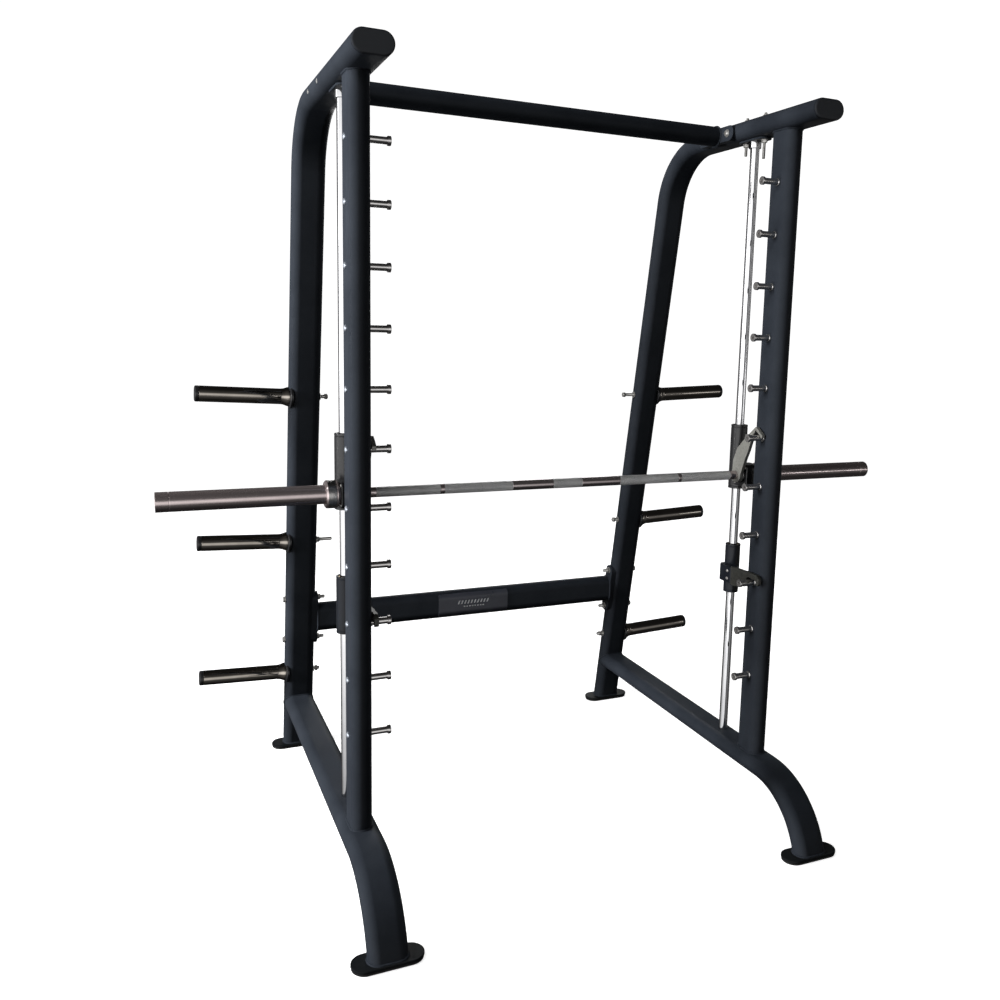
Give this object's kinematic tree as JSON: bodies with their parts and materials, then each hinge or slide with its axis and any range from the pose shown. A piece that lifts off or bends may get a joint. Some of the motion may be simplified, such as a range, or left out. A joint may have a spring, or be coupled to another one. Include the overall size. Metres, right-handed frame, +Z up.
{
  "type": "smith machine",
  "caption": "Free-standing smith machine: a barbell that slides on vertical guide rods, latch hooks, safety catches and plate storage pegs on an oval-tube frame.",
  "frame": {"origin": "centre of the footprint on the floor", "axes": "+Z up, +X to the right of someone facing the machine, -Y towards the open front"},
  "size_m": [2.2, 1.372, 2.173],
  "materials": {
    "frame_paint": "satin charcoal powder coat, fine grain",
    "foot_paint": "matte black powder coat",
    "cap_plastic": "smooth moulded plug",
    "chrome": "polished hard chrome",
    "black_chrome": "dark nickel plating with a soft sheen",
    "black_housing": "semi-gloss black",
    "bush_bronze": "oiled bearing bronze",
    "hook_steel": "dull zinc-plated plate",
    "bar_steel": "satin chrome with knurled grips",
    "plate_plastic": "blank slate-grey plate"
  },
  "bodies": {
    "frame": {"rear_frame_left": "frame_paint", "base_rail_left": "frame_paint", "front_upright_left": "frame_paint", "end_cap_left": "cap_plastic", "foot_plate_front_left": "foot_paint", "foot_plate_rear_left": "foot_paint", "guide_rod_left": "chrome", "rod_mount_left": "frame_paint", "hook_stud_left_01": "chrome", "hook_stud_left_02": "chrome", "hook_stud_left_03": "chrome", "hook_stud_left_04": "chrome", "hook_stud_left_05": "chrome", "hook_stud_left_06": "chrome", "hook_stud_left_07": "chrome", "hook_stud_left_08": "chrome", "hook_stud_left_09": "chrome", "hook_stud_left_10": "chrome", "hook_stud_left_11": "chrome", "storage_peg_upper_left": "black_chrome", "storage_peg_middle_left": "black_chrome", "storage_peg_lower_left": "black_chrome", "rear_frame_right": "frame_paint", "base_rail_right": "frame_paint", "front_upright_right": "frame_paint", "end_cap_right": "cap_plastic", "foot_plate_front_right": "foot_paint", "foot_plate_rear_right": "foot_paint", "guide_rod_right": "chrome", "rod_mount_right": "frame_paint", "hook_stud_right_01": "chrome", "hook_stud_right_02": "chrome", "hook_stud_right_03": "chrome", "hook_stud_right_04": "chrome", "hook_stud_right_05": "chrome", "hook_stud_right_06": "chrome", "hook_stud_right_07": "chrome", "hook_stud_right_08": "chrome", "hook_stud_right_09": "chrome", "hook_stud_right_10": "chrome", "hook_stud_right_11": "chrome", "storage_peg_upper_right": "black_chrome", "storage_peg_middle_right": "black_chrome", "storage_peg_lower_right": "black_chrome", "top_crossbar": "frame_paint", "rear_crossbar": "frame_paint", "name_plate": "plate_plastic"},
    "carriages": {"carriage_left": "black_housing", "carriage_right": "black_housing", "carriage_bush_left": "bush_bronze", "carriage_bush_right": "bush_bronze"},
    "bar": {"bar_shaft": "bar_steel", "bar_hook_left": "hook_steel", "bar_hook_right": "hook_steel"},
    "sleeve_left": {"bar_sleeve_left": "chrome"},
    "sleeve_right": {"bar_sleeve_right": "chrome"},
    "catch_slider_left": {"catch_bush_left": "bush_bronze"},
    "catch_slider_right": {"catch_bush_right": "bush_bronze"},
    "catch_left": {"safety_catch_left": "black_housing"},
    "catch_right": {"safety_catch_right": "black_housing"}
  },
  "joints": [
    {"name": "bar_lift", "type": "slide", "parent": "frame", "child": "carriages", "axis": [0, 0, 1], "range_m": [-0.15, 0.75]},
    {"name": "bar_twist", "type": "hinge", "parent": "carriages", "child": "bar", "pos_m": [0, -0.246, 1.076], "axis": [-1, 0, 0], "range_deg": [0, 45]},
    {"name": "sleeve_spin_left", "type": "hinge", "parent": "bar", "child": "sleeve_left", "pos_m": [-0.87, -0.246, 1.076], "axis": [1, 0, 0], "continuous": true},
    {"name": "sleeve_spin_right", "type": "hinge", "parent": "bar", "child": "sleeve_right", "pos_m": [0.87, -0.246, 1.076], "axis": [1, 0, 0], "continuous": true},
    {"name": "catch_slide_left", "type": "slide", "parent": "frame", "child": "catch_slider_left", "axis": [0, 0, 1], "range_m": [-0.3, 0]},
    {"name": "catch_slide_right", "type": "slide", "parent": "frame", "child": "catch_slider_right", "axis": [0, 0, 1], "range_m": [-0.3, 0]},
    {"name": "catch_swing_left", "type": "hinge", "parent": "catch_slider_left", "child": "catch_left", "pos_m": [-0.63, -0.192, 0.76], "axis": [0, 0, 1], "range_deg": [0, 70]},
    {"name": "catch_swing_right", "type": "hinge", "parent": "catch_slider_right", "child": "catch_right", "pos_m": [0.63, -0.192, 0.76], "axis": [0, 0, -1], "range_deg": [0, 70]}
  ]
}
